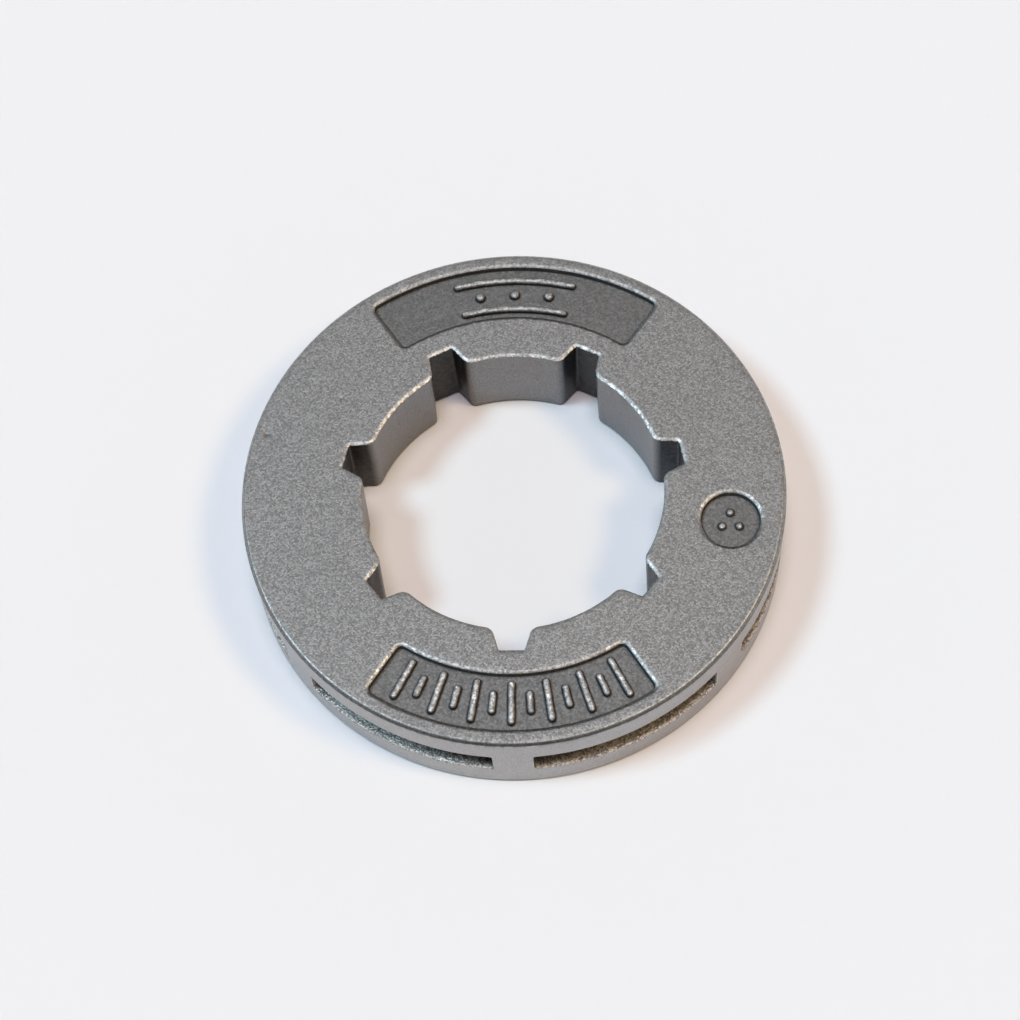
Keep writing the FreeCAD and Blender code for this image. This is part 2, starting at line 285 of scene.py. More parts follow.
def bore_outline():
    """The splined bore; normals point into the metal."""
    root = BORE + NOTCH_DEPTH
    half = NOTCH_ROOT_WIDTH / 2
    flank = complex(-math.cos(NOTCH_FLANK), math.sin(NOTCH_FLANK))
    side = complex(math.sin(NOTCH_FLANK), math.cos(NOTCH_FLANK))
    side_turn = cmath.phase(side)
    # A mouth's centre lies a mouth radius beside the flank, and as far outside the bore's circle
    beside = complex(root, half) + side * MOUTH_RADIUS
    along_flank = (beside * flank.conjugate()).real
    reach = -along_flank - math.sqrt(along_flank**2 - abs(beside) ** 2 + (BORE + MOUTH_RADIUS) ** 2)
    mouth = beside + flank * reach
    mouth_turn = cmath.phase(mouth)
    root_inset = ROOT_RADIUS * (1 - math.sin(NOTCH_FLANK)) / math.cos(NOTCH_FLANK)
    bend = complex(root - ROOT_RADIUS, half - root_inset)
    flank_mouth = mouth - side * MOUTH_RADIUS
    flank_root = bend + side * ROOT_RADIUS
    notch_and_land = joined([
        arc(mouth.conjugate(), MOUTH_RADIUS, math.pi - mouth_turn, math.pi - side_turn, inward=True),
        line(flank_mouth.conjugate(), flank_root.conjugate(), side.conjugate()),
        arc(bend.conjugate(), ROOT_RADIUS, -side_turn, 0),
        line(bend.conjugate() + ROOT_RADIUS, bend + ROOT_RADIUS, 1),
        arc(bend, ROOT_RADIUS, 0, side_turn),
        line(flank_root, flank_mouth, side),
        arc(mouth, MOUTH_RADIUS, side_turn - math.pi, mouth_turn - math.pi, inward=True),
        arc(0, BORE, mouth_turn, PITCH - mouth_turn, STEP),
    ])
    return joined([turned(notch_and_land, FRONT + PITCH * i) for i in range(SPLINES)])


def sector_outline(inner, outer, half_angle, corner):
    """Piece of a flat ring about angle 0, with radial ends and rounded corners; normals point out."""
    inner_turn = half_angle - math.asin(corner / (inner + corner))
    outer_turn = half_angle - math.asin(corner / (outer - corner))
    inner_corner = cmath.rect(inner + corner, inner_turn)
    outer_corner = cmath.rect(outer - corner, outer_turn)
    end = cmath.rect(1, half_angle + QUARTER)
    inner_end = inner_corner + end * corner
    outer_end = outer_corner + end * corner
    return joined([
        arc(0, outer, -outer_turn, outer_turn, STEP),
        arc(outer_corner, corner, outer_turn, half_angle + QUARTER),
        line(outer_end, inner_end, end),
        arc(inner_corner, corner, half_angle + QUARTER, inner_turn + math.pi),
        arc(0, inner, inner_turn, -inner_turn, STEP, inward=True),
        arc(inner_corner.conjugate(), corner, math.pi - inner_turn, 3 * QUARTER - half_angle),
        line(inner_end.conjugate(), outer_end.conjugate(), end.conjugate()),
        arc(outer_corner.conjugate(), corner, -half_angle - QUARTER, -outer_turn),
    ])


def box_outline(half_width, half_height, corner):
    """Rectangle about 0 with rounded corners; normals point out."""
    corner_place = complex(half_width - corner, half_height - corner)
    sides = []
    # Sides in turn: below, right, above and left
    for turn, reach in enumerate((half_height, half_width) * 2):
        facing = (-1j) * 1j**turn
        ahead = facing * 1j
        run = abs((corner_place * facing.conjugate()).imag)
        start = facing * reach - ahead * run
        end = facing * reach + ahead * run
        sides.append(line(start, end, facing, SLOT_STEP))
        sides.append(arc(end - facing * corner, corner, (turn - 1) * QUARTER, turn * QUARTER))
    return joined(sides)


def rib_outline(half_length, half_width):
    """Bar with round ends along the real axis; normals point out."""
    return joined([
        line(complex(-half_length, -half_width), complex(half_length, -half_width), -1j),
        arc(half_length, half_width, -QUARTER, QUARTER),
        line(complex(half_length, half_width), complex(-half_length, half_width), 1j),
        arc(-half_length, half_width, QUARTER, 3 * QUARTER),
    ])


def rim_outline():
    """The rim's circle, with points on every middle of a post; normals point into the metal."""
    turns = np.exp(1j * (FRONT + np.arange(SPLINES * RIM_POINTS) * PITCH / RIM_POINTS))
    return RIM * turns, -turns


def rounding(width, drop, level, count):
    """Rows of a rounded edge, from its foot on the wall up to the face: (offset, height) pairs."""
    turns = np.linspace(0, QUARTER, count)
    return list(zip(width * (1 - np.cos(turns)), level - drop * (1 - np.sin(turns))))


def lip(width, drop, level, count, power=LIP_POWER):
    """Rows of a worn edge, from its corner on the wall up to the face; the power flattens it there."""
    shares = np.linspace(0, 1, count)
    return list(zip(width * shares, level - drop * (1 - shares) ** power))


def hollow(radius, level, count):
    """Rows of an inside corner, from the floor up to the wall."""
    turns = np.linspace(0, QUARTER, count)
    return list(zip(radius * (np.sin(turns) - 1), level + radius * (1 - np.cos(turns))))


def shifted(rows, shift):
    """Rows with their offsets moved along the normals."""
    return [(offset + shift, height) for offset, height in rows]


def flipped(rows):
    """Rows of an edge at the top face, turned over to the back face."""
    return [(offset, TOP - height) for offset, height in rows]


def along(count, *stops):
    """A value for each row of a band, in a column: stops at equal shares of it, straight between them."""
    values = np.interp(np.linspace(0, 1, count), np.linspace(0, 1, len(stops)), stops)
    return values[:, None]


def foot_and_edge(foot, edge):
    """A look over the rows of a recess's or a mark's wall: none on its border, then these stops."""
    return np.concatenate([[[0.0]], along(FOOT_ROWS, *foot), along(EDGE_ROWS, *edge)])


def inside(loops, points):
    """Whether each point lies inside an odd number of the loops."""
    starts = np.concatenate(loops)
    ends = np.concatenate([np.roll(loop, -1) for loop in loops])
    rise = ends.imag - starts.imag
    slope = (ends.real - starts.real) / np.where(rise == 0, 1, rise)
    found = []
    for some in np.array_split(points, len(points) // CHUNK + 1):
        y = some.imag[:, None]
        crosses = (starts.imag > y) != (ends.imag > y)
        right = some.real[:, None] < starts.real + (y - starts.imag) * slope
        found.append((crosses & right).sum(1) % 2 == 1)
    return np.concatenate(found)


def spread_points(loops, step, chance):
    """Points about a step apart over the patch that the loops bound, clear of the loops."""
    edge = np.concatenate(loops)
    columns = np.arange(edge.real.min(), edge.real.max(), step)
    rows = np.arange(edge.imag.min(), edge.imag.max(), step * ROW_SHARE)
    x, y = np.meshgrid(columns, rows)
    x[1::2] += step / 2
    points = (x + 1j * y).ravel()
    sideways = chance.uniform(-JITTER, JITTER, points.size)
    upwards = chance.uniform(-JITTER, JITTER, points.size)
    points += step * (sideways + 1j * upwards)
    points = points[inside(loops, points)]
    near = kdtree.KDTree(len(edge))
    for i, point in enumerate(edge):
        near.insert((point.real, point.imag, 0), i)
    near.balance()
    clear = [near.find((point.real, point.imag, 0))[2] > CLEARANCE * step for point in points]
    return points[np.array(clear, bool)]


def on_plane(height):
    """Places a patch's points on a plane at this height."""
    return lambda points: np.stack([points.real, points.imag, np.full(points.shape, height)], -1)


def on_cylinder(radius, angle):
    """Wraps a patch's points, x along the arc and y up, on a cylinder about the bore's axis."""
    def place(points):
        turns = angle + points.real / radius
        return np.stack([radius * np.cos(turns), radius * np.sin(turns), points.imag], -1)
    return place


class Shell:
    """Gathers the patches of one closed surface, which meet point on point, and welds them."""

    def __init__(self):
        self.points = []
        self.faces = []
        self.finishes = []
        self.looks = {key: [] for key in LOOKS}
        self.chance = np.random.default_rng(SEED)

    def add(self, points, faces, finishes, looks):
        start = sum(len(patch) for patch in self.points)
        self.points.append(points)
        self.faces += (faces + start).tolist()
        self.finishes.append(finishes)
        for key in LOOKS:
            self.looks[key].append(np.broadcast_to(looks.get(key, 0.0), len(points)))

    def bands(self, rings, finish, **looks):
        """Quads between rings of points; a finish or look may differ by ring, in a column, or along it."""
        shape = (len(rings), len(rings[0]))
        here = np.arange(shape[0] * shape[1]).reshape(shape)
        after = np.roll(here, -1, 1)
        faces = np.stack([here[:-1], after[:-1], after[1:], here[1:]], -1).reshape(-1, 4)
        finishes = np.broadcast_to(finish, (shape[0] - 1, shape[1])).ravel()
        looks = {key: np.broadcast_to(value, shape).ravel() for key, value in looks.items()}
        self.add(np.concatenate(rings), faces, finishes, looks)

    def strip(self, outline, rows, finish, **looks):
        """Band along a flat outline; each row is an offset along the normals and a height."""
        rings = [on_plane(height)(loop_at(outline, offset)) for offset, height in rows]
        self.bands(rings, finish, **looks)

    def fill(self, loops, place, step, finish, wear=0.0, soot=0.0, rough=0.0, extra=()):
        """Triangles over the patch between an outer loop and the loops inside it; extra points join in."""
        # Blender's triangulation holds points in single precision, so the loops are rounded to it first
        loops = [loop.astype(np.complex64).astype(complex) for loop in loops]
        points = np.concatenate([*loops, spread_points(loops, step, self.chance), *extra])
        edges = []
        for loop in loops:
            start = len(edges)
            edges += [(start + i, start + (i + 1) % len(loop)) for i in range(len(loop))]
        corners = [Vector((point.real, point.imag)) for point in points]
        found, _, triangles, *_ = delaunay_2d_cdt(corners, edges, [], CONVEX_HULL, MERGE)
        points = np.array([complex(*point) for point in found])
        triangles = np.array(triangles)
        triangles = triangles[inside(loops, points[triangles].mean(1))]
        # The loops' own points come first, and this patch doesn't move them
        roughness = np.full(len(points), rough)
        roughness[:len(edges)] = 0
        looks = {"wear": wear, "soot": soot, "rough": roughness}
        self.add(place(points), triangles, np.full(len(triangles), finish), looks)

    def mesh(self, name):
        """The welded mesh, in metres, with its looks as attributes."""
        mesh = bpy.data.meshes.new(name)
        mesh.from_pydata(np.concatenate(self.points) * MM, [], self.faces)
        mesh.polygons.foreach_set("material_index", np.concatenate(self.finishes).astype(np.int32))
        for key in LOOKS:
            values = np.concatenate(self.looks[key]).astype(np.float32)
            mesh.attributes.new(key, "FLOAT", "POINT").data.foreach_set("value", values)
        welded = bmesh.new()
        welded.from_mesh(mesh)
        bmesh.ops.remove_doubles(welded, verts=welded.verts, dist=WELD * MM)
        bmesh.ops.recalc_face_normals(welded, faces=welded.faces)
        loose = sum(not edge.is_manifold for edge in welded.edges)
        if loose:
            raise RuntimeError(f"{name} isn't closed: {loose} loose edges")
        welded.to_mesh(mesh)
        welded.free()
        return mesh


def add_bore(shell, outline):
    """Bore wall with a worn lip, brightened by a painted highlight that varies with the way it faces, and
    a rounded foot; it is bare on the lands and dark in the notches with oxide and painted shade.
    """
    points, normals = outline
    head = TOP - BORE_DROP
    heights = np.append(np.linspace(BORE_FOOT, head - LIP_CORNER, WALL_ROWS - 1), head)
    drafts = np.interp(heights, (BORE_FOOT, head), (BORE_DRAFT, -BORE_DRAFT))
    foot = shifted(flipped(rounding(BORE_FOOT, BORE_FOOT, TOP, EDGE_ROWS)), BORE_DRAFT)
    edge = shifted(lip(BORE_EDGE, BORE_DROP, TOP, EDGE_ROWS), -BORE_DRAFT)
    # Oxide and painted shade deepen into the notches; the lip's wear and painted highlight vary with the
    # way it faces
    soot = np.clip((np.abs(points) - BORE) / NOTCH_SHADE, 0, 1)
    wear = np.interp(normals.imag, *LIP_WEAR_AND_SHEEN)
    broken = EDGE_ROUGH * along(EDGE_ROWS, *BORE_LIP_BROKEN)
    wall_broken = np.zeros((WALL_ROWS, 1))
    wall_broken[-1] = broken[0]
    shell.strip(outline, foot[::-1], LAND, soot=soot * along(EDGE_ROWS, 0, 1))
    shell.strip(outline, zip(drafts, heights), LAND, soot=soot, rough=wall_broken)
    shell.strip(outline, edge, FACE, wear=wear * along(EDGE_ROWS, *BORE_LIP_WORN_AND_LIT), rough=broken)


def add_bevel(shell, outline):
    """The rim's upper edge: a bevel with painted shade in front and wear with a painted highlight
    elsewhere, and a worn shoulder with a painted highlight above it.
    """
    head = TOP - SHOULDER_DROP
    bevel = lip(BEVEL_WIDTH, BEVEL_DROP, head, BEVEL_ROWS, BEVEL_POWER)
    shoulder = lip(SHOULDER_WIDTH, SHOULDER_DROP, TOP, EDGE_ROWS, SHOULDER_POWER)
    # Painted shade on the bevel where it faces the front, and wear with a painted highlight where it faces
    # away
    frontal = np.clip(outline[1].imag, 0, 1)
    painted_shade = BEVEL_SHADE * frontal**BEVEL_SHADE_POWER
    bevel_wear_and_sheen = BEVEL_WEAR_AND_SHEEN * (1 - frontal) ** BEVEL_SHEEN_POWER
    shoulder_wear_and_sheen = np.interp(frontal, *SHOULDER_WEAR_AND_SHEEN)
    shell.strip(outline, bevel, FACE,
                wear=bevel_wear_and_sheen * along(BEVEL_ROWS, *BEVEL_WORN_AND_LIT),
                soot=painted_shade * along(BEVEL_ROWS, *BEVEL_SHADED))
    shell.strip(outline, shifted(shoulder, BEVEL_WIDTH), FACE,
                wear=shoulder_wear_and_sheen * along(EDGE_ROWS, *SHOULDER_WORN_AND_LIT),
                rough=SKIN_ROUGH * along(EDGE_ROWS, *SHOULDER_BROKEN))


def add_mark(shell, outline, height, worn_and_lit):
    """A raised mark with a rounded crown, worn bright with a painted highlight, and painted shade at its
    foot; returns its loop in the recess floor.
    """
    points, normals = outline
    level = TOP - RECESS_DEPTH
    border = MARK_FOOT + MARK_BORDER
    crown_drop = min(MARK_CROWN, height - MARK_FOOT)
    # Wear with a painted highlight on the crown
    crown_wear_and_sheen = MARK_WEAR_AND_SHEEN * worn_and_lit
    rows = [(-border, level)] + hollow(MARK_FOOT, level, FOOT_ROWS)
    rows += rounding(MARK_CROWN, crown_drop, level + height, EDGE_ROWS)
    shell.strip((points, -normals), rows, FOOT_FINISHES,
                wear=foot_and_edge(PLAIN, (0, crown_wear_and_sheen)),
                soot=foot_and_edge(MARK_FOOT_SHADED, MARK_CROWN_SHADED),
                rough=foot_and_edge((SKIN_ROUGH,), (MARK_ROUGH,)))
    crown = loop_at(outline, -MARK_CROWN)
    shell.fill([crown], on_plane(level + height), STEP, FACE, wear=crown_wear_and_sheen, rough=SKIN_ROUGH)
    return loop_at(outline, border)


def add_recess(shell, outline, marks, mark_height, worn_and_lit=1.0):
    """A shallow recess with its marks and painted shade along its front edge; returns its loop in the top
    face.
    """
    facing_front = outline[1].imag
    level = TOP - RECESS_DEPTH
    border = RECESS_FOOT + RECESS_BORDER
    rows = [(-border, level)] + hollow(RECESS_FOOT, level, FOOT_ROWS)
    rows += lip(RECESS_EDGE, RECESS_DROP, TOP, EDGE_ROWS)
    # Wear with a painted highlight on the lip by the way it faces, painted shade on its front edge and
    # corner, and oxide with painted shade at the floor's border
    wear = worn_and_lit * np.interp(facing_front, *LIP_WEAR_AND_SHEEN)
    painted_shade = RECESS_SHADE * np.clip(-facing_front, 0, 1)
    soot = foot_and_edge(RECESS_FOOT_OXIDE_AND_SHADE, RECESS_LIP_CORNER_SHADE)
    shell.strip(outline, rows, FOOT_FINISHES,
                wear=wear * foot_and_edge(PLAIN, RECESS_LIP_WORN_AND_LIT),
                soot=np.maximum(soot, painted_shade * foot_and_edge(PLAIN, RECESS_LIP_FRONT_SHADE)),
                rough=EDGE_ROUGH * foot_and_edge(PLAIN, RECESS_LIP_BROKEN))
    mark_loops = [add_mark(shell, mark, mark_height, worn_and_lit) for mark in marks]
    floor = loop_at(outline, -border)
    shell.fill([floor, *mark_loops], on_plane(level), FLOOR_STEP, FLOOR, rough=SKIN_ROUGH)
    return loop_at(outline, RECESS_EDGE)


def front_marks():
    """A row of ribs, long and short in turn."""
    ribs = []
    for i in range(RIB_COUNT):
        rib = rib_outline(SHORT_RIB if i % 2 else LONG_RIB, RIB_HALF_WIDTH)
        angle = (i - (RIB_COUNT - 1) / 2) * RIB_PITCH
        ribs.append(turned(moved(rib, MARK_RADIUS), FRONT + angle))
    return ribs


def back_marks():
    """Two arcs round the bore with pips between them."""
    marks = [moved(circle(PIP_RADIUS), cmath.rect(MARK_RADIUS, BACK + angle)) for angle in ARC_PIPS]
    for middle in (MARK_RADIUS - ARC_OFFSET, MARK_RADIUS + ARC_OFFSET):
        rib = sector_outline(middle - RIB_HALF_WIDTH, middle + RIB_HALF_WIDTH, ARC_HALF, RIB_HALF_WIDTH)
        marks.append(turned(rib, BACK))
    return marks


def spot_marks():
    """A few small pips round the spot's centre."""
    turns = QUARTER + np.arange(SPOT_PIPS) * FULL_TURN / SPOT_PIPS
    places = [SPOT_PLACE + cmath.rect(SPOT_PIP_REACH, turn) for turn in turns]
    return [moved(circle(SPOT_PIP_RADIUS), place) for place in places]


def add_recesses(shell):
    """Two panels and the round spot with their marks; returns their loops in the top face."""
    front_panel = sector_outline(PANEL_INNER, FRONT_PANEL_OUTER, FRONT_PANEL_HALF, PANEL_CORNER)
    back_panel = sector_outline(PANEL_INNER, BACK_PANEL_OUTER, BACK_PANEL_HALF, PANEL_CORNER)
    spot = moved(circle(SPOT_RADIUS), SPOT_PLACE)
    return [
        add_recess(shell, turned(front_panel, FRONT), front_marks(), MARK_HEIGHT),
        add_recess(shell, turned(back_panel, BACK), back_marks(), MARK_HEIGHT, BACK_PANEL_WORN_AND_LIT),
        add_recess(shell, spot, spot_marks(), SPOT_MARK_HEIGHT),
    ]


def corner_tangent():
    """Radius where a cavity's straight flank meets its rounded corner."""
    corner_reach = CAVITY_FLOOR + CAVITY_CORNER
    return math.hypot(math.sqrt(corner_reach**2 - (POST_HALF + CAVITY_CORNER) ** 2), POST_HALF)


def cavity_half_angle(radius):
    """Half the angle that a cavity spans at this radius: straight flanks, then rounded corners."""
    if radius >= corner_tangent():
        return PITCH / 2 - math.asin(POST_HALF / radius)
    corner_reach = CAVITY_FLOOR + CAVITY_CORNER
    corner_turn = math.asin((POST_HALF + CAVITY_CORNER) / corner_reach)
    cosine = (radius**2 + corner_reach**2 - CAVITY_CORNER**2) / (2 * radius * corner_reach)
    return PITCH / 2 - corner_turn + math.acos(min(1, cosine))


def cavity_radii():
    """Radii of a cavity's rings behind its mouth: close near the rim, and again in its corners."""
    tangent = corner_tangent()
    near_rim = np.arange(RIM - SLOT_EDGE, RIM - GRAINY_DEPTH, -GRAINY_STEP)[1:]
    further = np.linspace(near_rim[-1], tangent, CAVITY_ROWS)[1:]
    shares = np.linspace(1, 0, CORNER_ROWS)[1:] ** CORNER_POWER
    corners = CAVITY_FLOOR + (tangent - CAVITY_FLOOR) * shares
    return np.concatenate([near_rim, further, corners])


def cavity_shade(from_post, depths):
    """Painted shade in a cavity at these distances from its nearest post and at these depths."""
    dim = DIM_SHARE * np.clip((depths - DIM_FROM) / DIM_REACH, 0, 1)
    beside_post = np.clip(1 - from_post / POST_SHADE_REACH, 0, 1)
    shade = POST_SHADE * beside_post * np.clip(depths / POST_SHADE_DEPTH, 0, 1)
    return np.maximum(dim, shade)


def add_cavity(shell, angle):
    """A drive-link cavity; returns the loop of its slot in the turned side, x along the arc and y up."""
    middle = TOP / 2
    mouth_half = cavity_half_angle(RIM)
    slot = box_outline(mouth_half * RIM, SLOT_HALF, SLOT_CORNER)
    points = slot[0]

    def ring(radius, offset=0.0):
        spread = loop_at(slot, offset)
        turns = angle + spread.real / RIM * cavity_half_angle(radius) / mouth_half
        return np.stack([radius * np.cos(turns), radius * np.sin(turns), middle + spread.imag], -1)

    mouth = [ring(RIM - depth, -rise) for depth, rise in rounding(SLOT_EDGE, SLOT_EDGE, 0, FOOT_ROWS)]
    radii = cavity_radii()
    deep = [mouth[-1]] + [ring(radius) for radius in radii]
    # Painted shade, darker with depth and beside the posts
    soot = cavity_shade(mouth_half * RIM - np.abs(points.real), RIM - np.append(RIM, radii)[:, None])
    rough = np.append(SKIN_ROUGH, np.full(len(radii), CAVITY_ROUGH))[:, None]
    # Wear with a painted highlight on the slot's rounded edge
    shell.bands(mouth, SLOT, wear=along(FOOT_ROWS, *SLOT_MOUTH_WORN_AND_LIT),
                rough=along(FOOT_ROWS, 0, SKIN_ROUGH))
    shell.bands(deep, SLOT, soot=soot, rough=rough)
    across = points.real * cavity_half_angle(CAVITY_FLOOR) / mouth_half * CAVITY_FLOOR / RIM
    floor = across + 1j * (points.imag + middle)
    # The cavity's floor gets the full painted shade
    shell.fill([floor], on_cylinder(CAVITY_FLOOR, angle), SIDE_STEP, SLOT, soot=DIM_SHARE)
    return loop_at(slot, SLOT_EDGE) + 1j * middle


def add_side(shell, angle):
    """One pitch of the turned side from post to post, with the cavity that opens in it."""
    slot_loop = add_cavity(shell, angle)
    half = PITCH / 2 * RIM
    head = TOP - BEVEL_DROP - SHOULDER_DROP
    across = np.linspace(-half, half, RIM_POINTS + 1)
    up = np.linspace(RIM_FOOT, head, POST_POINTS)
    pitch_loop = np.concatenate([across[:-1] + 1j * RIM_FOOT, half + 1j * up[:-1],
                                 across[:0:-1] + 1j * head, -half + 1j * up[:0:-1]])
    shell.fill([pitch_loop, slot_loop], on_cylinder(RIM, angle), SIDE_STEP, SIDE)


def dent_points(dent):
    """Points close together on and round a dent."""
    radii = dent["radius"] * DENT_RINGS
    return np.concatenate([arc(dent["place"], radius, 0, FULL_TURN, DENT_STEP)[0] for radius in radii])


def add_faces(shell, rim, bore, recess_loops):
    """The top face round the recesses, with points for its dents, and the plain back face."""
    top_rim = loop_at(rim, BEVEL_WIDTH + SHOULDER_WIDTH)
    top_bore = loop_at(bore, BORE_EDGE - BORE_DRAFT)
    dents = [dent_points(dent) for dent in DENTS]
    shell.fill([top_rim, top_bore, *recess_loops], on_plane(TOP), FACE_STEP, FACE,
               rough=SKIN_ROUGH, extra=dents)
    back_rim = loop_at(rim, RIM_FOOT)
    back_bore = loop_at(bore, BORE_FOOT + BORE_DRAFT)
    shell.fill([back_rim, back_bore], on_plane(0), BACK_STEP, FACE)


def read_rows(items, key, width):
    """A value of each of a mesh's items, in rows of this width."""
    values = np.empty(len(items) * width, np.float32)
    items.foreach_get(key, values)
    return values.reshape(-1, width).astype(float)


def skin_wave(place):
    """Waves of the cast skin at a place, above and below 0."""
    return noise.noise(place / LONG_WAVE) + SHORT_SHARE * noise.noise(place / SHORT_WAVE)


def roughen(mesh):
    """Moves the points a little: waves of the cast skin and its edges, and the dents in the top face."""
    places = read_rows(mesh.vertices, "co", 3) / MM
    normals = read_rows(mesh.vertex_normals, "vector", 3)
    rough = read_rows(mesh.attributes["rough"].data, "value", 1)
    # Near the table points move sideways only, so that the back face stays flat
    normals[places[:, 2] < RIM_FOOT, 2] = 0
    waves = np.array([[skin_wave(Vector(place))] for place in places])
    on_top = places[:, 2] > TOP - WELD
    for dent in DENTS:
        away = np.abs(places[:, 0] + 1j * places[:, 1] - dent["place"]) / dent["radius"]
        places[:, 2] -= on_top * dent["depth"] * np.exp(-away**2)
    places += normals * (rough * waves)
    mesh.vertices.foreach_set("co", (places * MM).astype(np.float32).ravel())
    mesh.attributes.remove(mesh.attributes["rough"])


def make_ring():
    """The whole casting as one closed mesh."""
    shell = Shell()
    bore = bore_outline()
    rim = rim_outline()
    add_bore(shell, bore)
    recess_loops = add_recesses(shell)
    for i in range(SPLINES):
        add_side(shell, FRONT + PITCH / 2 + PITCH * i)
    add_bevel(shell, rim)
    shell.strip(rim, flipped(rounding(RIM_FOOT, RIM_FOOT, TOP, FOOT_ROWS)), SIDE)
    add_faces(shell, rim, bore, recess_loops)
    mesh = shell.mesh("cast_ring")
    roughen(mesh)
    mesh.polygons.foreach_set("use_smooth", np.ones(len(mesh.polygons), bool))
    mesh.set_sharp_from_angle(angle=SHARP_ANGLE)
    return mesh


# Worn edges with painted highlights, and dark corners with oxide and painted shade: colours, sizes in
# millimetres, and ranges that noise is moved from and to
BRIGHT_STEEL = (0.78, 0.77, 0.75)
DARK_OXIDE_AND_SHADE = (0.026, 0.025, 0.024)
WORN_AND_LIT_GRAIN = 0.15
WORN_AND_LIT_FROM = (0.3, 0.65)
WORN_AND_LIT_TO = (0.25, 1.0)
WORN_AND_LIT_POLISH = 0.65
OXIDE_AND_SHADE_CLOUD = 0.3
OXIDE_AND_SHADE_FROM = (0.3, 0.6)
OXIDE_AND_SHADE_TO = (0.85, 1.0)

# Cast finishes: clouds and grains, their shares of the tone and of the bump, and how uneven the polish is
CAST_CLOUD = 1.8
CAST_GRAIN_SHARE = 0.5
CAST_DOME_SHARE = 0.6
CAST_TONES = (0.3, 0.7)
CAST_POLISH = (0.2, 0.8)
CAST_UNEVEN = 0.05
GRAIN_DOME = 0.7

# Turned finishes: noise drawn out round the axis into lines, specks and clouds, and their shares
TURNED_SQUEEZE = (0.12, 0.12, 14.0)
TURNED_LINE = 1.0
TURNED_SPECK = 0.08
TURNED_CLOUD = 1.2
TURNED_CLOUD_SHARE = 0.1
TURNED_BUMP_SHARE = 0.7
TURNED_TONES = (0.35, 0.65)
TURNED_POLISH = (0.3, 0.7)
TURNED_UNEVEN = 0.04
TURNED_RELIEF = 0.006

# Octaves of the noises, and the sockets of a Mix node that carry colours
GRAIN_DETAIL = 1.0
CLOUD_DETAIL = 2.0
LINE_DETAIL = 3.0
MIX_FIRST, MIX_SECOND, MIX_RESULT = 6, 7, 2


class Finish:
    """A steel finish on one Principled shader, with short names for the nodes that finishes share."""

    def __init__(self, name):
        self.material = bpy.data.materials.new(name)
        self.material.use_nodes = True
        self.nodes = self.material.node_tree.nodes
        self.links = self.material.node_tree.links
        self.shader = self.nodes["Principled BSDF"]
        self.shader.inputs["Metallic"].default_value = 1.0
        place = self.nodes.new("ShaderNodeTexCoord").outputs["Object"]
        self.place = self.add("VectorMath", {0: place, "Scale": 1 / MM}, operation="SCALE")

    def add(self, kind, inputs, output=0, **settings):
        """A node with its inputs linked or set; returns one of its outputs."""
        node = self.nodes.new("ShaderNode" + kind)
        for key, value in settings.items():
            setattr(node, key, value)
        for key, value in inputs.items():
            if isinstance(value, bpy.types.NodeSocket):
                self.links.new(value, node.inputs[key])
            else:
                node.inputs[key].default_value = value
        return node.outputs[output]

    def noise(self, size, detail=CLOUD_DETAIL, place=None):
        """Soft noise from 0 to 1, of this size in millimetres."""
        return self.add("TexNoise", {"Vector": place or self.place, "Scale": 1 / size, "Detail": detail})

    def cells(self, size):
        """Grains of this size in millimetres: one random value for each, and a dome over each."""
        value = self.add("TexVoronoi", {"Vector": self.place, "Scale": 1 / size}, "Color")
        return value, self.span(value.node.outputs["Distance"], (0.0, GRAIN_DOME), (1.0, 0.0))

    def product(self, first, second):
        return self.add("Math", {0: first, 1: second}, operation="MULTIPLY")

    def sum(self, *terms):
        """Sum of values, each given with its share."""
        total = 0.0
        for value, share in terms:
            total = self.add("Math", {0: value, 1: share, 2: total}, operation="MULTIPLY_ADD")
        return total

    def span(self, value, start, end=(0.0, 1.0)):
        """The value's range moved from one to another, and held there."""
        return self.add("MapRange", {"Value": value, "From Min": start[0], "From Max": start[1],
                                     "To Min": end[0], "To Max": end[1]})

    def blend(self, factor, first, second):
        """A colour between two, each linked or given as red, green and blue."""
        first, second = [(*c, 1.0) if isinstance(c, tuple) else c for c in (first, second)]
        return self.add("Mix", {0: factor, MIX_FIRST: first, MIX_SECOND: second}, MIX_RESULT,
                        data_type="RGBA")

    def look(self, name):
        return self.add("Attribute", {}, "Fac", attribute_name=name)

    def worn_and_lit(self):
        """How far an edge is worn bright and lit by a painted highlight, grain by grain."""
        grains, _ = self.cells(WORN_AND_LIT_GRAIN)
        return self.product(self.look("wear"), self.span(grains, WORN_AND_LIT_FROM, WORN_AND_LIT_TO))

    def oxide_and_shade_factor(self):
        """How dark a corner is with oxide and painted shade, broken up a little."""
        return self.product(self.look("soot"), self.span(self.noise(OXIDE_AND_SHADE_CLOUD), OXIDE_AND_SHADE_FROM, OXIDE_AND_SHADE_TO))

    def dress(self, skin, roughness, height, relief):
        """Links a skin, bright where worn and where a highlight is painted, dark in corners with oxide and
        painted shade, its roughness and a bump of this relief.
        """
        worn_and_lit = self.worn_and_lit()
        colour = self.blend(self.oxide_and_shade_factor(), self.blend(worn_and_lit, skin, BRIGHT_STEEL), DARK_OXIDE_AND_SHADE)
        polish = self.product(roughness, self.span(worn_and_lit, (0.0, 1.0), (1.0, WORN_AND_LIT_POLISH)))
        self.links.new(colour, self.shader.inputs["Base Color"])
        self.links.new(polish, self.shader.inputs["Roughness"])
        bump = self.add("Bump", {"Height": height, "Distance": relief * MM, "Strength": 1.0})
        self.links.new(bump, self.shader.inputs["Normal"])
        return self.material


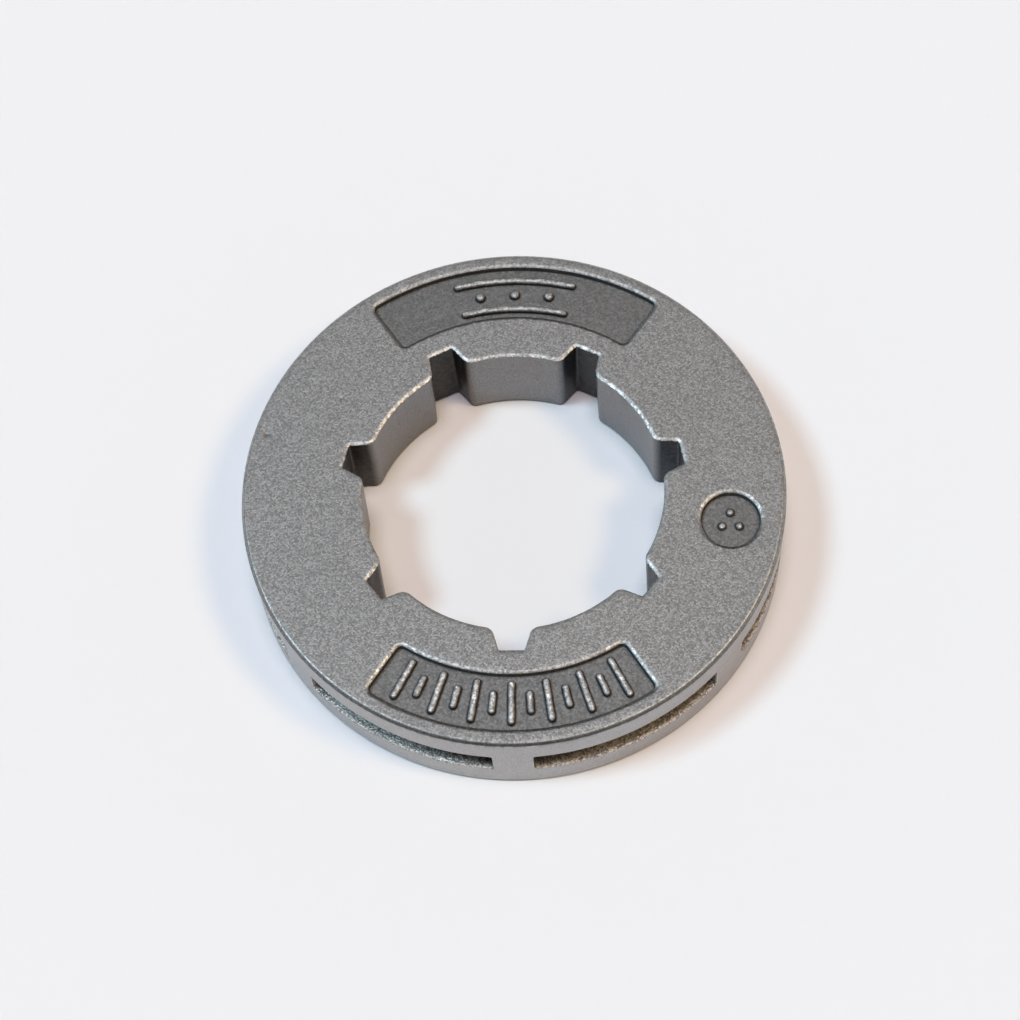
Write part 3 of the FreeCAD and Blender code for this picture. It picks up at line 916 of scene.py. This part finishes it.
def cast_finish(name, dark, light, roughness, grain, relief, cloudy):
    """Blasted casting: fine grains of uneven brightness over slow clouds of tone."""
    finish = Finish(name)
    waves = finish.noise(grain, GRAIN_DETAIL)
    grains, domes = finish.cells(grain)
    clouds = finish.noise(CAST_CLOUD)
    wave_share = 1 - CAST_GRAIN_SHARE - cloudy
    tone = finish.sum((grains, CAST_GRAIN_SHARE), (waves, wave_share), (clouds, cloudy))
    skin = finish.blend(finish.span(tone, CAST_TONES), dark, light)
    polish = finish.span(grains, CAST_POLISH, (roughness + CAST_UNEVEN, roughness - CAST_UNEVEN))
    bumps = finish.product(domes, grains)
    height = finish.sum((bumps, CAST_DOME_SHARE), (waves, 1 - CAST_DOME_SHARE))
    return finish.dress(skin, polish, height, relief)


def turned_finish(name, dark, light, roughness, lined):
    """Turned or broached metal: fine even noise over faint clouds, with lines round the axis."""
    finish = Finish(name)
    squeezed = finish.add("VectorMath", {0: finish.place, 1: TURNED_SQUEEZE}, operation="MULTIPLY")
    lines = finish.noise(TURNED_LINE, LINE_DETAIL, squeezed)
    specks = finish.noise(TURNED_SPECK, GRAIN_DETAIL)
    clouds = finish.noise(TURNED_CLOUD)
    speck_share = 1 - TURNED_CLOUD_SHARE - lined
    tone = finish.sum((lines, lined), (specks, speck_share), (clouds, TURNED_CLOUD_SHARE))
    skin = finish.blend(finish.span(tone, TURNED_TONES), dark, light)
    polish = finish.span(specks, TURNED_POLISH, (roughness - TURNED_UNEVEN, roughness + TURNED_UNEVEN))
    height = finish.sum((lines, lined), (specks, TURNED_BUMP_SHARE - lined))
    return finish.dress(skin, polish, height, TURNED_RELIEF)


def ring_finishes():
    """The ring's materials, in the order of the finish numbers."""
    return [
        cast_finish("cast_face", dark=(0.226, 0.224, 0.218), light=(0.364, 0.36, 0.35),
                    roughness=0.65, grain=0.105, relief=0.022, cloudy=0.04),
        cast_finish("recess_skin", dark=(0.155, 0.153, 0.148), light=(0.22, 0.218, 0.211),
                    roughness=0.62, grain=0.13, relief=0.012, cloudy=0.1),
        turned_finish("turned_side", dark=(0.275, 0.266, 0.266), light=(0.465, 0.451, 0.451),
                      roughness=0.38, lined=0.15),
        turned_finish("bore_land", dark=(0.152, 0.147, 0.146), light=(0.29, 0.28, 0.278),
                      roughness=0.42, lined=0.05),
        cast_finish("cavity_skin", dark=(0.18, 0.168, 0.154), light=(0.68, 0.63, 0.578),
                    roughness=0.5, grain=0.1, relief=0.04, cloudy=0.05),
    ]


def add_object(name, data):
    """A new object in the scene."""
    item = bpy.data.objects.new(name, data)
    bpy.context.scene.collection.objects.link(item)
    return item


def make_part():
    """The ring with its finishes, on the part's only body and in place of its CAD node."""
    mesh = make_ring()
    for material in ring_finishes():
        mesh.materials.append(material)
    ring = add_object("cast_ring", mesh)
    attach(ring, "root")
    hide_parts(NODE)


# Table: a pale round sweep, in metres
TABLE_COLOUR = (0.836, 0.836, 0.842, 1.0)
TABLE_ROUGHNESS = 0.7
TABLE_SPECULAR = 0.2
TABLE_REACH = 1.2
TABLE_RINGS = 8
SWEEP_RADIUS = 0.3
SWEEP_RINGS = 9
SWEEP_HEIGHT = 0.75
SWEEP_STEPS = 96


def sweep_mesh(name, profile):
    """Round mesh from a profile of (reach, height) pairs that starts on the axis."""
    sweep = bmesh.new()
    edge = [sweep.verts.new((reach, 0, height)) for reach, height in profile]
    spine = [sweep.edges.new(pair) for pair in zip(edge, edge[1:])]
    bmesh.ops.spin(sweep, geom=edge + spine, axis=(0, 0, 1), cent=(0, 0, 0), angle=FULL_TURN,
                   steps=SWEEP_STEPS, use_merge=True)
    bmesh.ops.remove_doubles(sweep, verts=sweep.verts, dist=WELD * MM)
    bmesh.ops.recalc_face_normals(sweep, faces=sweep.faces)
    for face in sweep.faces:
        face.smooth = True
    mesh = bpy.data.meshes.new(name)
    sweep.to_mesh(mesh)
    sweep.free()
    return mesh


def table_material():
    """Matt pale paint."""
    material = bpy.data.materials.new("pale_table")
    material.use_nodes = True
    shader = material.node_tree.nodes["Principled BSDF"]
    shader.inputs["Base Color"].default_value = TABLE_COLOUR
    shader.inputs["Roughness"].default_value = TABLE_ROUGHNESS
    shader.inputs["Specular IOR Level"].default_value = TABLE_SPECULAR
    return material


def make_table():
    """A round table whose edge sweeps up to a low wall, so that every view has a plain ground."""
    turns = np.linspace(0, QUARTER, SWEEP_RINGS)[1:]
    profile = [(reach, 0.0) for reach in np.linspace(0, TABLE_REACH, TABLE_RINGS)]
    profile += [(TABLE_REACH + SWEEP_RADIUS * math.sin(turn), SWEEP_RADIUS * (1 - math.cos(turn)))
                for turn in turns]
    profile.append((TABLE_REACH + SWEEP_RADIUS, SWEEP_HEIGHT))
    mesh = sweep_mesh("table", profile)
    mesh.materials.append(table_material())
    add_object("table", mesh)


# Lamps, far away: angles in degrees, azimuth from +X; a lamp's size is the angle that it spans in the sky
LAMPS = {
    "cool_lamp": {"azimuth": 187, "elevation": 62, "size": 13,
                  "strength": 1.32, "colour": (0.51, 0.81, 1.0)},
    "warm_lamp": {"azimuth": -13, "elevation": 58, "size": 13,
                  "strength": 0.75, "colour": (1.0, 0.70, 0.29)},
    "top_lamp": {"azimuth": -90, "elevation": 87, "size": 20,
                 "strength": 1.52, "colour": (1.0, 0.91, 0.95)},
}

# Dome: a dim sky that is brightest overhead
DOME_COLOUR = (1.0, 0.91, 0.95, 1.0)
DOME_LOW = 0.07
DOME_RISE = 0.1
DOME_POWER = 4.0


def direction(azimuth, elevation):
    """Unit vector towards a place in the sky."""
    turn = math.radians(azimuth)
    rise = math.radians(elevation)
    return Vector((math.cos(turn) * math.cos(rise), math.sin(turn) * math.cos(rise), math.sin(rise)))


def make_lamps():
    """Puts up the lamps, each turned to the part."""
    for name, lamp in LAMPS.items():
        light = bpy.data.lights.new(name, "SUN")
        light.energy = lamp["strength"]
        light.color = lamp["colour"]
        light.angle = math.radians(lamp["size"])
        item = add_object(name, light)
        towards = direction(lamp["azimuth"], lamp["elevation"])
        item.rotation_mode = "QUATERNION"
        item.rotation_quaternion = towards.to_track_quat("Z", "Y")
        item.location = towards


def make_dome():
    """Lights the scene all round, by the height of the sky."""
    world = bpy.data.worlds.new("studio")
    bpy.context.scene.world = world
    world.use_nodes = True
    nodes = world.node_tree.nodes
    links = world.node_tree.links
    split = nodes.new("ShaderNodeSeparateXYZ")
    links.new(nodes.new("ShaderNodeTexCoord").outputs["Generated"], split.inputs[0])
    level = split.outputs["Z"]
    steps = (("MAXIMUM", 0.0), ("POWER", DOME_POWER), ("MULTIPLY", DOME_RISE), ("ADD", DOME_LOW))
    for operation, value in steps:
        step = nodes.new("ShaderNodeMath")
        step.operation = operation
        links.new(level, step.inputs[0])
        step.inputs[1].default_value = value
        level = step.outputs[0]
    sky = nodes["Background"]
    sky.inputs["Color"].default_value = DOME_COLOUR
    links.new(level, sky.inputs["Strength"])


# Camera, as the photograph was taken: angles in degrees, azimuth from +X, and lengths in millimetres
CAMERA_AZIMUTH = -84.1
CAMERA_ELEVATION = 64.4
CAMERA_ROLL = -6.06
CAMERA_DISTANCE = 158.4
CAMERA_RIGHT = -0.464
CAMERA_UP = 1.394
CAMERA_LENS = 86.4
CAMERA_SENSOR = 36
CAMERA_NEAR = 10
CAMERA_FAR = 10000


def make_camera():
    """The camera, rolled and a little off the part's origin."""
    back = direction(CAMERA_AZIMUTH, CAMERA_ELEVATION)
    level = Vector((0, 0, 1)).cross(back).normalized()
    roll = Matrix.Rotation(math.radians(CAMERA_ROLL), 3, back)
    right = roll @ level
    up = back.cross(right)
    place = back * CAMERA_DISTANCE + right * CAMERA_RIGHT + up * CAMERA_UP
    data = bpy.data.cameras.new("camera")
    data.lens = CAMERA_LENS
    data.sensor_width = CAMERA_SENSOR
    data.clip_start = CAMERA_NEAR * MM
    data.clip_end = CAMERA_FAR * MM
    camera = add_object("camera", data)
    turn = Matrix((right, up, back)).transposed()
    camera.matrix_world = Matrix.Translation(place * MM) @ turn.to_4x4()
    bpy.context.scene.camera = camera


make_part()
make_table()
make_lamps()
make_dome()
make_camera()
bpy.context.scene.view_settings.view_transform = "Standard"
